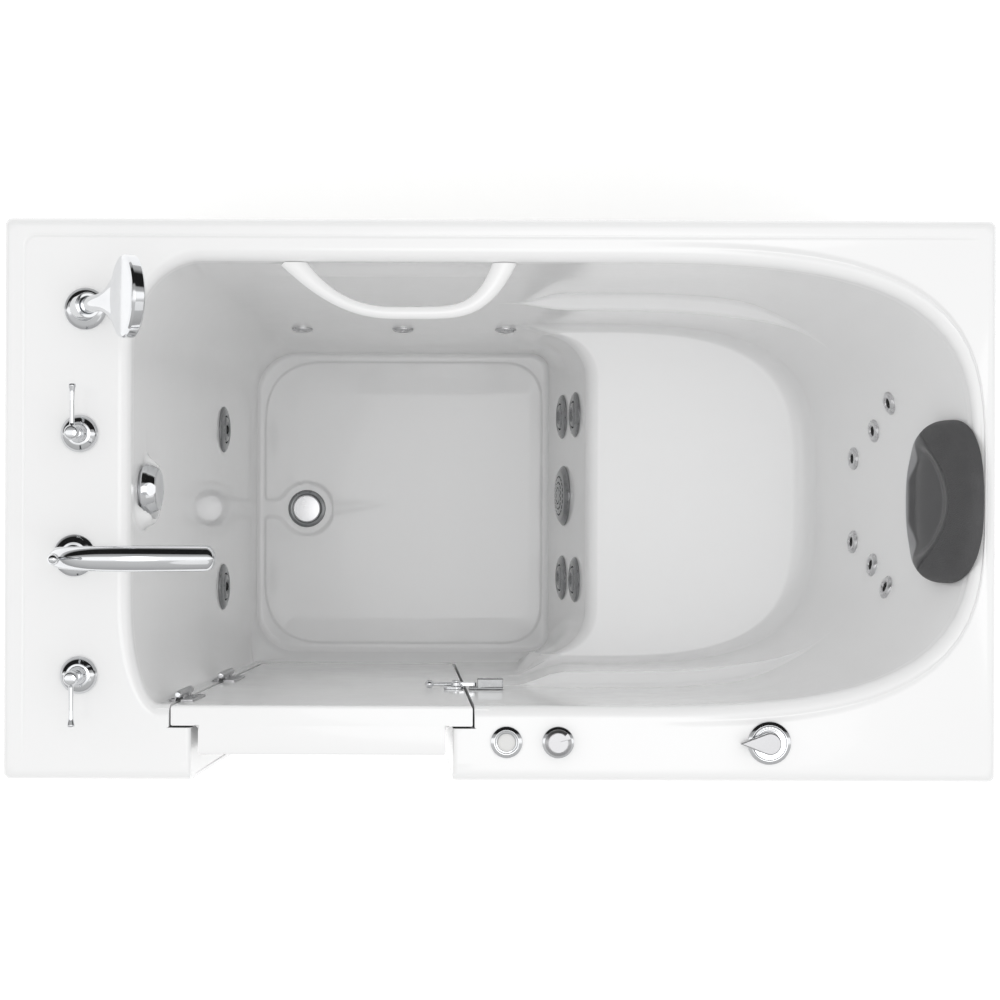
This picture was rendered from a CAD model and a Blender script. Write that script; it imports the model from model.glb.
import math

import bmesh
import bpy
import numpy as np
from mathutils import Matrix, Vector


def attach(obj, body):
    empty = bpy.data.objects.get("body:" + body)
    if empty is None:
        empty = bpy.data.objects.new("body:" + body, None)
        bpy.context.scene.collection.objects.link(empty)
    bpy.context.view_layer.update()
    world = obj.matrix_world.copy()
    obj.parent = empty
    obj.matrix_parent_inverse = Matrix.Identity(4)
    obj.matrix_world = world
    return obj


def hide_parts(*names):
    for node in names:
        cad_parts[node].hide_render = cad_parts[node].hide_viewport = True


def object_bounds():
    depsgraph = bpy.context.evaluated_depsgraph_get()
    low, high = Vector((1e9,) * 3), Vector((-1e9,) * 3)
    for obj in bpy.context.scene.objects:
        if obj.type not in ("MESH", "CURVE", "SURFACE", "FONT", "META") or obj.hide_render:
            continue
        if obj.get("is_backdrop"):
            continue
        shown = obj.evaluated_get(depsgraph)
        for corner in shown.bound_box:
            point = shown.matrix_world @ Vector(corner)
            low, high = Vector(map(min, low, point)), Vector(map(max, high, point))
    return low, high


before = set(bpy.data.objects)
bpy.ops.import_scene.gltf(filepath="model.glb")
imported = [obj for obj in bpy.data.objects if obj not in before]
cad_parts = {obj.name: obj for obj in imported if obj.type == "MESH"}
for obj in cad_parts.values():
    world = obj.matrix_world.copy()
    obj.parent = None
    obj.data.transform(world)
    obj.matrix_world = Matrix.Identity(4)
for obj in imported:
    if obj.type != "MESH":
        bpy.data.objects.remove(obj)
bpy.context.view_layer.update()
scene = bpy.context.scene
scene.view_settings.view_transform = "Standard"

# Sizes and places are in millimetres, and a piece's mesh is made in metres.
MM = 0.001

# ---------------------------------------------------------------------------
# Camera: straight above the middle of the tub, 3.26 m over the deck, with
# the faint turn that the picture has.
camera_height = 4274
view = bpy.data.cameras.new("camera")
view.sensor_width = 36.0
view.lens = 86.6
camera = bpy.data.objects.new("camera", view)
camera.location = (0.0, 0.0, camera_height * MM)
camera.rotation_euler = (0.0, 0.0, math.radians(0.2))
scene.collection.objects.link(camera)
scene.camera = camera

# ---------------------------------------------------------------------------
# Base frame, uprights and seat support: welded square tubes of stainless
# steel with a brushed finish. The tub hangs on them by its deck and stands
# on them by its foot well and seat.


class Value:
    """A socket of a material's node, on which arithmetic adds Math nodes."""

    def __init__(self, finish, socket):
        self.finish, self.socket = finish, socket

    def maths(self, operation, first, second=0.0):
        return self.finish.node("ShaderNodeMath", {"operation": operation}, {0: first, 1: second})

    def __add__(self, other):
        return self.maths("ADD", self, other)

    def __mul__(self, other):
        return self.maths("MULTIPLY", self, other)

    __radd__ = __add__
    __rmul__ = __mul__


class Finish:
    """A material round one Principled shader, whose sockets it is made with."""

    def __init__(self, name, **sockets):
        self.material = bpy.data.materials.new(name)
        self.material.use_nodes = True
        self.tree = self.material.node_tree
        self.shader = self.tree.nodes["Principled BSDF"]
        self.place = self.node("ShaderNodeTexCoord", out="Object")
        self.feed(self.shader, {key.replace("_", " "): value for key, value in sockets.items()})

    def feed(self, node, sockets):
        for key, value in sockets.items():
            if isinstance(value, Value):
                self.tree.links.new(value.socket, node.inputs[key])
            else:
                node.inputs[key].default_value = value

    def node(self, kind, settings=None, sockets=None, out=0):
        made = self.tree.nodes.new(kind)
        for key, value in (settings or {}).items():
            if key == "stops":
                ramp = made.color_ramp.elements
                for place, shade in value[2:]:
                    ramp.new(place)
                for element, (place, shade) in zip(ramp, value):
                    element.position, element.color = place, shade
            else:
                setattr(made, key, value)
        self.feed(made, sockets or {})
        return Value(self, made.outputs[out])

    def noise(self, scale, detail=2.0, stretch=(1, 1, 1), turn=(0, 0, 0), roughness=0.5):
        """Noise between 0 and 1 with that many waves to a metre, drawn out by stretch."""
        place = self.node("ShaderNodeMapping", {},
                          {"Vector": self.place, "Scale": stretch, "Rotation": turn}, "Vector")
        return self.node("ShaderNodeTexNoise", {},
                         {"Vector": place, "Scale": scale, "Detail": detail, "Roughness": roughness}, "Fac")

    def between(self, factor, first, second):
        """A colour between two colours."""
        return self.node("ShaderNodeMix", {"data_type": "RGBA"}, {0: factor, 6: first, 7: second}, 2)

    def bump(self, height, strength, distance):
        self.feed(self.shader, {"Normal": self.node("ShaderNodeBump", {}, {
            "Height": height, "Strength": strength, "Distance": distance}, "Normal")})

    def varies(self, **sockets):
        self.feed(self.shader, {key.replace("_", " "): value for key, value in sockets.items()})
        return self


def brushed_steel():
    steel = Finish("brushed_steel", Metallic=1.0, Specular_IOR_Level=0.5)
    grain = steel.noise(30, 3, (1, 40, 40))
    cloud = steel.noise(4, 3)
    steel.varies(Base_Color=steel.between(cloud, (0.50, 0.51, 0.53, 1), (0.63, 0.64, 0.65, 1)),
                 Roughness=0.28 + grain * 0.18 + cloud * 0.06)
    steel.bump(grain, 0.25, 0.0002)
    return steel.material


def dress(finish, *nodes):
    """Gives carried-over nodes of the frame their finish."""
    for node in nodes:
        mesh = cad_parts[node].data
        if mesh.materials:
            mesh.materials[0] = finish
        else:
            mesh.materials.append(finish)


steel = brushed_steel()
dress(steel, "base_frame", "frame_uprights", "seat_support")

# ---------------------------------------------------------------------------
# Levelling feet: a rubber-soled pad on a threaded rod, with a lock nut under
# the rail. Six of them, screwed into the base frame.


class Form:
    """Points in millimetres, and the faces between them with their finish's number."""

    def __init__(self, points=(), faces=(), finishes=None):
        self.points = [Vector(p) for p in points]
        self.faces = [tuple(f) for f in faces]
        self.finishes = list(finishes or [0] * len(self.faces))

    def __add__(self, other):
        shift = len(self.points)
        return Form(self.points + other.points, self.faces + [tuple(i + shift for i in f)
                                                              for f in other.faces],
                    self.finishes + other.finishes)

    def at(self, place):
        return Form([place @ p for p in self.points], self.faces, self.finishes)

    def of(self, finish):
        return Form(self.points, self.faces, [finish] * len(self.faces))


def moved(x, y, z):
    return Matrix.Translation((x, y, z))


def turned(axis, degrees):
    return Matrix.Rotation(math.radians(degrees), 4, axis)


def softened(profile, steps=5):
    """A line through points, where one with a third number is rounded to that radius."""
    line = []
    for i, point in enumerate(profile):
        here = Vector(point[:2])
        if len(point) < 3 or i in (0, len(profile) - 1):
            line.append(here)
            continue
        before, after = Vector(profile[i - 1][:2]) - here, Vector(profile[i + 1][:2]) - here
        opening = before.angle(after)
        reach = min(point[2] / math.tan(opening / 2), 0.49 * before.length, 0.49 * after.length)
        start, end = here + before.normalized() * reach, here + after.normalized() * reach
        radius = reach * math.tan(opening / 2)
        middle = here + (before.normalized()
                         + after.normalized()).normalized() * (radius / math.sin(opening / 2))
        for k in range(steps + 1):
            t = k / steps
            line.append(middle + (start - middle).lerp(end - middle, t).normalized() * radius)
    return line


def lathe(profile, turns=48):
    """A turned form from a profile of radii and heights, which runs from axis to axis or closes on itself."""
    line = softened(profile)
    closed = line[0].x > 1e-6
    points, rows = [], []
    for r, z in line:
        if r < 1e-6:
            rows.append([len(points)] * turns)
            points.append((0, 0, z))
        else:
            rows.append([len(points) + i for i in range(turns)])
            around = [2 * math.pi * i / turns for i in range(turns)]
            points += [(r * math.cos(a), r * math.sin(a), z) for a in around]
    faces = []
    for a, b in zip(rows, rows[1:] + rows[:1] if closed else rows[1:]):
        for i in range(turns):
            j = (i + 1) % turns
            face = list(dict.fromkeys((a[i], a[j], b[j], b[i])))
            if len(face) > 2:
                faces.append(face)
    return Form(points, faces)


def prism(outline, low, high):
    """A flat outline raised from one height to another."""
    n = len(outline)
    points = [(x, y, low) for x, y in outline] + [(x, y, high) for x, y in outline]
    sides = [(i, (i + 1) % n, n + (i + 1) % n, n + i) for i in range(n)]
    return Form(points, sides + [tuple(range(n))[::-1], tuple(range(n, 2 * n))])


def mesh_of(name, form, sharp=35):
    """A mesh in metres with its faces outwards, smooth but for edges sharper than that angle."""
    mesh = bpy.data.meshes.new(name)
    mesh.from_pydata([p * MM for p in form.points], [], form.faces)
    mesh.polygons.foreach_set("material_index", form.finishes)
    shape = bmesh.new()
    shape.from_mesh(mesh)
    bmesh.ops.recalc_face_normals(shape, faces=shape.faces)
    shape.to_mesh(mesh)
    shape.free()
    mesh.polygons.foreach_set("use_smooth", [True] * len(mesh.polygons))
    mesh.set_sharp_from_angle(angle=math.radians(sharp))
    return mesh


def piece(name, mesh, finishes, body, nodes, bevel=0.0):
    """A finished piece that rides on a body and stands for nodes of the frame."""
    made = bpy.data.objects.new(name, mesh)
    scene.collection.objects.link(made)
    for i, finish in enumerate(finishes):
        if i < len(mesh.materials):
            mesh.materials[i] = finish
        else:
            mesh.materials.append(finish)
    if bevel:
        edge = made.modifiers.new("edge", "BEVEL")
        edge.width, edge.segments = bevel * MM, 3
        edge.limit_method, edge.angle_limit = "ANGLE", math.radians(35)
        edge.use_clamp_overlap = True
        made.modifiers.new("shading", "WEIGHTED_NORMAL").keep_sharp = True
    if nodes:
        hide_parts(*nodes)
    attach(made, body)
    return made


def tree_of(name, inputs):
    """A Geometry Nodes tree with a geometry in and out and those named inputs."""
    tree = bpy.data.node_groups.new(name, "GeometryNodeTree")
    tree.interface.new_socket("Geometry", in_out="INPUT", socket_type="NodeSocketGeometry")
    tree.interface.new_socket("Geometry", in_out="OUTPUT", socket_type="NodeSocketGeometry")
    for key, kind in inputs:
        tree.interface.new_socket(key, in_out="INPUT", socket_type="NodeSocket" + kind)
    return tree


def grow(carrier, tree, **inputs):
    """The plain mesh that the tree makes on an object, with the tree's inputs set by their names."""
    scene.collection.objects.link(carrier)
    modifier = carrier.modifiers.new("grow", "NODES")
    modifier.node_group = tree
    for item in tree.interface.items_tree:
        if item.in_out == "INPUT" and item.name in inputs:
            modifier[item.identifier] = inputs[item.name]
    grown = bpy.data.meshes.new_from_object(carrier.evaluated_get(bpy.context.evaluated_depsgraph_get()))
    carrier.modifiers.remove(modifier)
    bpy.data.objects.remove(carrier)
    return grown


def nodes_of(tree, *kinds):
    return [tree.nodes.new(kind) for kind in kinds]


def wire(tree, *links):
    """Joins sockets: each link is a node and its output, then a node and its input."""
    for source, leaves, target, enters in links:
        tree.links.new(source.outputs[leaves], target.inputs[enters])


def set_out_tree():
    """Sets a part out on points, each turned by the point's own angles."""
    tree = tree_of("set_out", [("Part", "Object"), ("Finish", "Material")])
    start, end, part, turn, angles, place, real, finish = nodes_of(
        tree, "NodeGroupInput", "NodeGroupOutput", "GeometryNodeObjectInfo",
        "GeometryNodeInputNamedAttribute",
        "FunctionNodeEulerToRotation", "GeometryNodeInstanceOnPoints", "GeometryNodeRealizeInstances",
        "GeometryNodeSetMaterial")
    turn.data_type = "FLOAT_VECTOR"
    turn.inputs["Name"].default_value = "turn"
    wire(tree, (start, "Part", part, "Object"), (turn, "Attribute", angles, 0),
         (start, "Geometry", place, "Points"), (part, "Geometry", place, "Instance"),
         (angles, 0, place, "Rotation"), (place, "Instances", real, "Geometry"),
         (start, "Finish", finish, "Material"), (real, "Geometry", finish, "Geometry"),
         (finish, "Geometry", end, "Geometry"))
    return tree


set_out = set_out_tree()


def repeat(name, form, places, finish):
    """One mesh with the form set out at every place."""
    part = bpy.data.objects.new("part", mesh_of("part", form))
    scene.collection.objects.link(part)
    spots = bpy.data.meshes.new("spots")
    spots.from_pydata([p.translation * MM for p in places], [], [])
    turns = spots.attributes.new("turn", "FLOAT_VECTOR", "POINT")
    turns.data.foreach_set("vector", [a for p in places for a in p.to_euler("XYZ")])
    mesh = grow(bpy.data.objects.new("spots", spots), set_out, Part=part, Finish=finish)
    bpy.data.objects.remove(part)
    mesh.name = name
    return mesh


def moulded_rubber():
    rubber = Finish("black_rubber", Specular_IOR_Level=0.3)
    dust = rubber.noise(60, 4)
    rubber.varies(Base_Color=rubber.between(dust, (0.012, 0.012, 0.012, 1), (0.03, 0.03, 0.03, 1)),
                  Roughness=0.55 + dust * 0.25)
    rubber.bump(rubber.noise(900, 2), 0.2, 0.0001)
    return rubber.material


rubber = moulded_rubber()
half_l, half_w = 673, 381
sheet_t = 6
gap = 0.3
floor_z = 110
tube = 30
frame_top = floor_z - sheet_t - gap
foot_r, rod_r = 21, 6
rail_end, rail_y = half_l - sheet_t - gap, half_w - sheet_t - gap - tube / 2
thread_low, thread_turns, rod_top = 10, 26, frame_top - 2.5 - gap
thread = [(0, thread_low)]
for i in range(thread_turns):
    z = thread_low + i * (rod_top - thread_low) / thread_turns
    thread += [(rod_r - 0.9, z), (rod_r, z + 1)]
nut_r, nut_top = rod_r * 1.9, frame_top - tube - gap
hexagon = [(nut_r * math.cos(math.pi * i / 3), nut_r * math.sin(math.pi * i / 3)) for i in range(6)]
sole = lathe([(0, 0), (foot_r - 1, 0, 1), (foot_r - 0.5, 4, 1), (0, 4)], 40)
foot = (lathe([(0, 4), (foot_r - 2, 4, 1), (foot_r - 4, 9, 2), (9, 10, 2), (8, 14, 1), (0, 14)], 40)
        + lathe(thread + [(0, rod_top)], 24) + prism(hexagon, nut_top - rod_r, nut_top))
foot_x = rail_end - 3 * tube
foot_places = [moved(x, y, 0) for x in (-foot_x, 0, foot_x) for y in (-rail_y, rail_y)]
for name, form, finish, slot in (("foot_soles", sole, rubber, "black_rubber"), ("foot_threads", foot, steel,
                                                                                "steel")):
    piece(name, repeat(name, form, foot_places, finish), [finish], "tub", ["levelling_feet"])

# ---------------------------------------------------------------------------
# Moulded tub: one vacuum-formed sheet of glossy white acrylic, with the foot
# well, the seat and the backrest in one surface that rolls over a rim on to
# the deck and down a lip. Its back is stiffened with sprayed glass fibre.
deck_z = 1016
seat_z = 430
rim_r, rim_z = 17, 999
edge_r, lip_h = 12, 45
door_z, sill_z = 171, 168
rim_left, rim_right, rim_front, rim_back = -501, 643, -279, 323
floor_left, floor_front, floor_back = -419, -261, 252
riser_foot, riser_top = 82, 140
seat_front, seat_end = -258, 494
well_r = 70
seat_pinch = 12
bend_from, bend_to = 20, 100
end_power = 3.6
drain_x, drain_y = -334, -16
overflow_z, overflow_y, overflow_r = 940, 13, 36
arc_steps, end_steps, run_steps = 14, 66, 22


def glossy_acrylic():
    """White cast acrylic: a deep gloss over a faint ripple from the mould, with a little soap haze."""
    acrylic = Finish("white_acrylic", IOR=1.49, Coat_Weight=0.35, Coat_Roughness=0.04)
    haze = acrylic.noise(7, 4)
    film = acrylic.noise(45, 3)
    acrylic.varies(Base_Color=acrylic.between(haze, (0.915, 0.917, 0.918, 1), (0.932, 0.932, 0.932, 1)),
                   Roughness=0.10 + haze * 0.08 + film * 0.05)
    acrylic.bump(acrylic.noise(22, 1), 0.25, 0.0004)
    return acrylic.material


def sprayed_glass_fibre():
    """Chopped strands in resin, rolled down by hand: a rough, yellowish, translucent back."""
    fibre = Finish("glass_fibre", IOR=1.55)
    strand = fibre.noise(60, 5, (1, 6, 2), (0.4, 0.3, 0.7), 0.7)
    cross = fibre.noise(60, 5, (6, 1, 3), (0.2, 0.9, 0.1), 0.7)
    lay = strand * 0.5 + cross * 0.5
    fibre.varies(Base_Color=fibre.between(lay, (0.42, 0.41, 0.34, 1), (0.72, 0.72, 0.66, 1)),
                 Roughness=0.35 + lay * 0.3)
    fibre.bump(lay, 0.6, 0.002)
    return fibre.material


acrylic, glass_fibre = glossy_acrylic(), sprayed_glass_fibre()


def mix(a, b, t):
    return a + (b - a) * t


def smooth(t):
    t = min(max(t, 0.0), 1.0)
    return t * t * (3 - 2 * t)


wall_top = 1004


def share(z):
    return (z - floor_z) / (wall_top - floor_z)


def seat_share(z):
    return max(0.0, (z - seat_z) / (wall_top - seat_z))


def left_at(z):
    return mix(floor_left, rim_left, share(z))


def back_at(z):
    return mix(floor_back, rim_back, share(z))


def riser_at(z):
    return mix(riser_foot, riser_top, (z - floor_z) / (seat_z - floor_z))


def right_at(z):
    return mix(seat_end, rim_right, seat_share(z))


def front_at(z):
    return mix(floor_front, rim_front, min(1.0, (z - floor_z) / (door_z - floor_z)))


def seat_front_at(z):
    return mix(seat_front, rim_front, seat_share(z))


def quarter(cx, cy, rx, ry, start, steps=arc_steps, power=2.0):
    """A quarter of an oval, or of a squarer round where its power is over 2."""
    def squared(share_of_r):
        return math.copysign(abs(share_of_r) ** (2 / power), share_of_r)
    turns = [math.radians(start + 90 * i / steps) for i in range(steps + 1)]
    return [(cx + rx * squared(math.cos(a)), cy + ry * squared(math.sin(a))) for a in turns]


def run(a, b, count):
    return [(mix(a[0], b[0], i / (count + 1)), mix(a[1], b[1], i / (count + 1))) for i in range(1, count + 1)]


def square_end(x, y0, y1, r):
    return (quarter(x - r, y0 + r, r, r, -90) + run((x, y0 + r), (x, y1 - r), end_steps - 2 * arc_steps - 1)
            + quarter(x - r, y1 - r, r, r, 0))


def round_end(x, y0, y1):
    ax, ay, cy = x - bend_to, (y1 - y0) / 2, (y0 + y1) / 2
    points = []
    for i in range(end_steps + 1):
        a = math.radians(-90 + 180 * i / end_steps)
        c, s = abs(math.cos(a)) / ax, abs(math.sin(a)) / ay
        r = (c ** end_power + s ** end_power) ** (-1 / end_power)
        points.append((bend_to + r * math.cos(a), cy + r * math.sin(a)))
    return points


def down_left(x, top, bottom):
    """The straight left side, with its points closest where the channel and the overflow are."""
    close = [66 - 2.75 * i for i in range(49)]
    return run((x, top), (x, close[0]), 5) + [(x, y) for y in close] + run((x, close[-1]), (x, bottom), 5)


def left_part(join, x, y0, y1, back, front, power=2.0):
    return (run((join, y1), (x + back[0], y1), run_steps)
            + quarter(x + back[0], y1 - back[1], back[0], back[1], 90, power=power)
            + down_left(x, y1 - back[1], y0 + front[1])
            + quarter(x + front[0], y0 + front[1], front[0], front[1], 180, power=power)
            + run((x + front[0], y0), (join, y0), run_steps))


def bent_ring(right, zr, left, zl):
    """A ring whose right part stands at one height and its left part at another."""
    y0, y1, f0, b0 = right[0][1], right[-1][1], left[-1][1], left[0][1]
    ring = [(x, y, zr) for x, y in right]
    for x, y in left:
        w = smooth((bend_to - x) / (bend_to - bend_from))
        shift = y0 - f0 if abs(y - f0) < 1e-6 else y1 - b0 if abs(y - b0) < 1e-6 else 0.0
        ring.append((x, y + (1 - w) * shift, mix(zr, zl, w)))
    return ring


def left_ring(join, z, inset):
    s, less = share(z), inset / 2
    tight = smooth((z - sill_z + 30) / 30)
    above = share(max(z, sill_z))
    return left_part(join, left_at(z) + inset, front_at(z) + inset, back_at(z) - inset,
                     (mix(well_r, 95, s) - less, mix(well_r, 120, s) - less),
                     (mix(well_r, mix(3, 41, above), tight) - less, mix(well_r, mix(60, 140, above),
                                                                        tight) - less))


def well_ring(x, zr, zl, inset):
    s = (zr - floor_z) / (seat_z - floor_z)
    r = mix(28, well_r, min(1.0, 1.6 * s)) - inset / 2
    y0, y1 = mix(floor_front, -246, s) + inset, back_at(zr) - seat_pinch * s - inset
    return bent_ring(square_end(x - inset, y0, y1, r), zr, left_ring(x - inset - r, zl, inset), zl)


def seat_ring(zr, zl, inset, end_inset):
    end = round_end(right_at(zr) - end_inset, seat_front_at(zr) + inset, back_at(zr) - inset)
    return bent_ring(end, zr, left_ring(bend_to, zl, 0.0), zl)


def rim_ring(out, z):
    left, right = rim_left - out, rim_right + min(out, 9 + out / 4)
    front, back = rim_front - out, rim_back + out
    part = left_part(bend_to, left, front, back, (95 + out, 120 + out), (41 + out, 140 + out))
    return bent_ring(round_end(right, front, back), z, part, z)


def deck_ring(x0, x1, y0, y1, r, z):
    """A ring with four round corners, its right ones straight out from the seat end's."""
    front = [(bend_to, y0)] + run((bend_to, y0), (x1 - r, y0), 14) + quarter(x1 - r, y0 + r, r, r, -90, 10)
    end = front + run((x1, y0 + r), (x1, y1 - r), 15) + [(x, y0 + y1 - y) for x, y in reversed(front)]
    return bent_ring(end, z, left_part(bend_to, x0, y0, y1, (r, r), (r, r)), z)


def part_way(first, second, t):
    return [tuple(mix(p[k], q[k], t) for k in range(3)) for p, q in zip(first, second)]


def swollen(ring, d):
    """A ring that swells outwards by d beside the seat, and not at its two ends."""
    made = []
    for i, (x, y, z) in enumerate(ring):
        start, end = ring[i - 1], ring[(i + 1) % len(ring)]
        out = Vector((end[1] - start[1], start[0] - end[0])).normalized()
        swell = d * smooth((x - bend_from) / (bend_to - bend_from)) * smooth((484 - x) / 140)
        made.append((x + swell * out.x, y + swell * out.y, z))
    return made


# The floor's island stands a little over a gutter along the walls, and is
# open towards the drain and the channel that comes down from the overflow.
island_left, island_right, island_front, island_back = -408, 74, -250, 240
recess_r, channel_w = 43, 11.7


def soft_least(a, b, k):
    h = max(k - abs(a - b), 0.0) / k
    return min(a, b) - h * h * k / 4


def island_ring(d):
    x0, x1, y0, y1 = island_left + d, island_right - d, island_front + d, island_back - d
    big, small = 112 - 0.6 * d, 74 - 0.5 * d
    right = (quarter(x1 - small, y0 + small, small, small, -90, power=2.5)
             + run((x1, y0 + small), (x1, y1 - small), end_steps - 2 * arc_steps - 1)
             + quarter(x1 - small, y1 - small, small, small, 0, power=2.5))
    left = left_part(x1 - small, x0, y0, y1, (big, big), (big, big), 2.6)
    made = []
    for x, y in right + left:
        clear = math.hypot(x - drain_x, y - drain_y) - recess_r
        if x < drain_x:
            clear = soft_least(clear, abs(y - drain_y) - channel_w, 14)
        slope = min((x - island_left) / 51, (island_right - x) / 24, (y - island_front) / 45,
                    (island_back - y) / 57)
        up = 2.6 * smooth(soft_least(d, clear, 9) / 4.5) + 2.4 * min(1.0, max(0.0, slope)) * smooth(clear / 6)
        made.append((x, y, floor_z + up))
    return made


def overflow_boss(y, z):
    """How far the moulded rest under the overflow knob stands out of the left wall."""
    u, v = y - overflow_y, z - overflow_z
    far = math.hypot(u, v)
    low_side = smooth(((-0.62 * u - 0.78 * v) / max(far, 1) + 0.5) / 0.7)
    return 17 * low_side * smooth((far - overflow_r - 0.5) / 4) * (1 - smooth((far - 45) / 13))


def pressed(ring):
    """A ring of the walls with the forms that are pressed into it."""
    made = []
    for x, y, z in ring:
        if x < -390 and abs(y) < 67:
            x += overflow_boss(y, z)
        if y > 270 and z > 880:
            hollow = (smooth((x + 310) / 60) * smooth((15 - x) / 60) * smooth((z - 885) / 60)
                      * smooth((rim_z - z) / 16))
            y += 10 * hollow
        made.append((x, y, z))
    return made


def tub_rings():
    """Rings of the bathing surface, from the middle of the floor to the foot of the lip."""
    floor_r, riser_r, seat_r = 8, 22, 30
    eighths = [math.radians(90 * i / 8) for i in range(9)]
    insets = [120 - 3 * i for i in range(34)] + [18, 15, 12, 9, 6.5, 4.8, 3.6, 2.4, 1.2, 0]
    made = [island_ring(d) for d in insets]
    for a in eighths:
        z = floor_z + floor_r * (1 - math.cos(a))
        made.append(well_ring(riser_at(z), z, z, floor_r * (1 - math.sin(a))))
    made += [well_ring(riser_at(z), z, z, 0) for z in (126, 135, 144, 153, 160, 164, 168, 200, 230, 260,
                                                       290, 320, 345, 370)]
    top = seat_z - riser_r
    for i, a in enumerate(eighths):
        made.append(well_ring(riser_at(top) + riser_r * (1 - math.cos(a)), top + riser_r * math.sin(a),
                              top + 33 * i / 8, 0))
    first = seat_ring(seat_z, seat_z + riser_r, seat_pinch - 2, seat_r)
    made += [part_way(made[-1], first, t) for t in (0.25, 0.5, 0.75)]
    for i, a in enumerate(eighths):
        made.append(seat_ring(seat_z + seat_r * (1 - math.cos(a)), seat_z + riser_r * (1 + i / 8),
                              (seat_pinch - 2) * (1 - math.sin(a)), seat_r * (1 - math.sin(a))))
    # Beside the seat the walls step out above two arm ledges
    low, high = seat_z + seat_r, rim_z
    section = softened([(0, low), (-8, 648, 6), (16, 653, 9), (0, high)], 6)
    steps = [section[0].lerp(section[1], i / 6) for i in range(1, 6)] + section[1:-1]
    steps += [section[-2].lerp(section[-1], (z - 655) / (high - 655)) for z in [700, 745, 790, 830]
              + list(range(862, 998, 4))]
    for d, z in steps:
        made.append(swollen(seat_ring(z, mix(seat_z + 2 * riser_r, rim_z, (z - low) / (high - low)), 0, 0),
                            d))
    made = [pressed(ring) if k >= len(insets) else ring for k, ring in enumerate(made)]
    made += [rim_ring(rim_r * (1 - math.cos(a)), rim_z + rim_r * math.sin(a)) for a in eighths]
    # Round the seat end the rim is a low bead, and a faint line runs along the deck's border
    for out, rise in ((1.5, 1.0), (3.5, 1.8), (5.5, 1.4), (8, -0.2), (11, -0.9), (13, -0.9)):
        made.append([(x, y, z + rise * smooth((x - 180) / 260)) for x, y, z in rim_ring(rim_r + out, deck_z)])
    for out, down in ((3, 0), (1.5, 0.5), (0, 0.9), (-1.5, 0.5), (-3, 0)):
        ring = deck_ring(-645 + out, 660.4 - out / 10, -360 + out, 357 - out, 16, deck_z)
        made.append([(x, y, z - down * smooth((650 - x) / 30) * smooth((y + 345) / 20)) for x, y, z in ring])
    for a in (math.radians(90 * i / 6) for i in range(7)):
        less, z = edge_r * (1 - math.sin(a)), deck_z - edge_r * (1 - math.cos(a))
        made.append(deck_ring(-half_l + less, half_l - less, -half_w + less, half_w - less, 10, z))
    made.append(deck_ring(-half_l, half_l, -half_w, half_w, 10, deck_z - lip_h))
    return np.array(made)


def moulded_sheet(rings, thickness):
    """A sheet of even thickness behind a grid of rings: its front has finish 0 and its back finish 1."""
    count, n = rings.shape[:2]
    last = np.arange(count)
    along = np.roll(rings, -1, axis=1) - np.roll(rings, 1, axis=1)
    rise = rings[np.minimum(last + 1, count - 1)] - rings[np.maximum(last - 1, 0)]
    out = np.cross(along, rise)
    behind = rings + thickness * out / np.linalg.norm(out, axis=2, keepdims=True)
    middle = rings[0].mean(axis=0)
    points = np.concatenate([rings.reshape(-1, 3), behind.reshape(-1, 3),
                             [middle, middle - (0, 0, thickness)]])
    other = count * n
    faces, finishes = [], []
    for k in range(count - 1):
        for i in range(n):
            a, b = k * n + i, k * n + (i + 1) % n
            faces += [(a, b, b + n, a + n), (other + a, other + a + n, other + b + n, other + b)]
            finishes += [0, 1]
    for i in range(n):
        j = (i + 1) % n
        a, b = (count - 1) * n + i, (count - 1) * n + j
        faces += [(a, b, b + other, a + other), (j, i, 2 * other), (other + i, other + j, 2 * other + 1)]
        finishes += [0, 0, 1]
    return Form(points, faces, finishes)


# The doorway: two blocks of a jamb stand between the front wall and the lip,
# and the doorway is cut through them in two steps, one for each leaf. The
# step's edges flare into the bathing side, the deck and the apron.
door_slope = 0.048
leaf_back, leaf_seat, outer_back, outer_low = -307, -310, -346, 195
door_gap, outer_gap, leaf_step, door_r = 2.5, 10, 37, 30
jamb_in, jamb_out = -284, -half_w + 5.05


def door_left_at(z):
    return -445 + door_slope * (deck_z - z)


def door_right_at(z):
    return -36 - door_slope * (deck_z - z)


quarter_turn = [math.radians(15 * i) for i in range(7)]
easing = [1 - math.cos(a) for a in quarter_turn]


def door_outline(grow, low, top, r, mouth=0.0):
    """The door's outline in elevation, grown by grow, with round lower corners and a mouth into the deck."""
    left, right = door_left_at(deck_z) - grow, door_right_at(deck_z) + grow
    bell = [(mouth * (1 - math.sin(a)), deck_z - mouth * (1 - math.cos(a))) for a in quarter_turn if mouth]
    return ([(left - mouth, top)] + [(left - x, z) for x, z in bell]
            + quarter(door_left_at(low) - grow + r, low + r, r, r, 180)
            + quarter(door_right_at(low) + grow - r, low + r, r, r, 270)
            + [(right + x, z) for x, z in reversed(bell)] + [(right + mouth, top)])


def skin(rows):
    """A form over rows of points, each row closed on itself, with a face over the first and the last row."""
    n = len(rows[0])
    faces = [(k * n + i, k * n + (i + 1) % n, (k + 1) * n + (i + 1) % n, (k + 1) * n + i)
             for k in range(len(rows) - 1) for i in range(n)]
    end = (len(rows) - 1) * n
    return Form([p for row in rows for p in row], faces + [tuple(range(n)), tuple(end + i for i in range(n))])


def across(outline_at, stations):
    """A form through outlines in X and Z that stand at places across the tub."""
    return skin([[(x, y, z) for x, z in outline_at(y)] for y in stations])


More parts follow.
